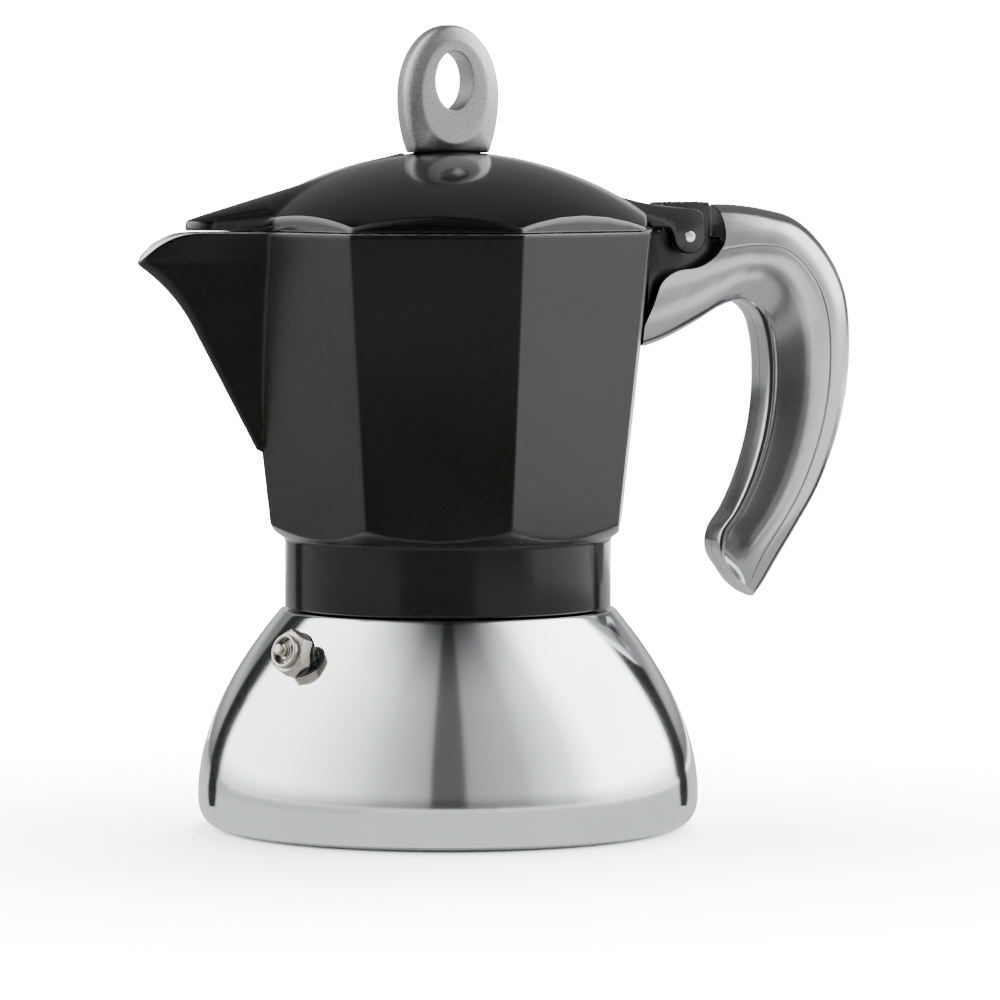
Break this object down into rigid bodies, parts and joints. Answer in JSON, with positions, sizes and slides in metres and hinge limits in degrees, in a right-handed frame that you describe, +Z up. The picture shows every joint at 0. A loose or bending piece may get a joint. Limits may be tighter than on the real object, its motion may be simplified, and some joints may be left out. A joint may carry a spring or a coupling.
{
  "type": "moka pot",
  "caption": "Stovetop coffee pot with a steel boiler, a threaded eight-sided collector, a hinged lid, a ring knob and a curved side handle.",
  "frame": {"origin": "centre of the boiler's flat base, on the surface the pot stands on", "axes": "+Z up, +X towards the handle, -X towards the spout, +Y to the left of someone facing the handle from the axis"},
  "size_m": [0.1506, 0.1, 0.1598],
  "materials": {
    "polished_steel": "mirror-polished stainless steel",
    "black_paint": "semi-gloss black paint on cast aluminium",
    "bare_aluminium": "satin, as cast and turned",
    "valve_brass": "satin, nickelled over brass",
    "grey_plastic": "silver-grey heat-resistant plastic, fine speckle",
    "silicone": "matte food-grade seal",
    "steel_fastener": "zinc-plated, satin"
  },
  "bodies": {
    "boiler": {"boiler": "polished_steel", "valve_body": "valve_brass", "valve_washer": "silicone", "valve_seat": "valve_brass", "valve_spring": "steel_fastener", "funnel": "bare_aluminium", "funnel_plate": "bare_aluminium"},
    "valve": {"valve_stem": "valve_brass"},
    "seal": {"gasket": "silicone", "filter_plate": "bare_aluminium"},
    "collector": {"collector": "black_paint", "hinge_pin": "steel_fastener", "handle_shell_near": "grey_plastic", "handle_shell_far": "grey_plastic", "handle_screw_upper": "steel_fastener", "handle_screw_lower": "steel_fastener"},
    "lid": {"lid": "black_paint", "knob": "grey_plastic", "knob_screw": "steel_fastener"}
  },
  "joints": [
    {"name": "valve_slide", "type": "slide", "parent": "boiler", "child": "valve", "axis": [-0.8824, -0.3929, 0.2588], "range_m": [0, 0.0015], "stiffness_N_per_m": 400, "springref_m": -0.002, "deforming": ["valve_spring"]},
    {"name": "thread_lift", "type": "slide", "parent": "boiler", "child": "seal", "axis": [0, 0, 1], "range_m": [0, 0.0076]},
    {"name": "unscrew", "type": "hinge", "parent": "seal", "child": "collector", "pos_m": [0, 0, 0], "axis": [0, 0, 1], "range_deg": [0, 1080]},
    {"name": "lid_hinge", "type": "hinge", "parent": "collector", "child": "lid", "pos_m": [0.0491, 0, 0.1175], "axis": [0, 1, 0], "range_deg": [0, 95]}
  ],
  "couplings": [
    {"joint": "thread_lift", "follows": "unscrew", "m_per_rad": 0.00039789}
  ]
}
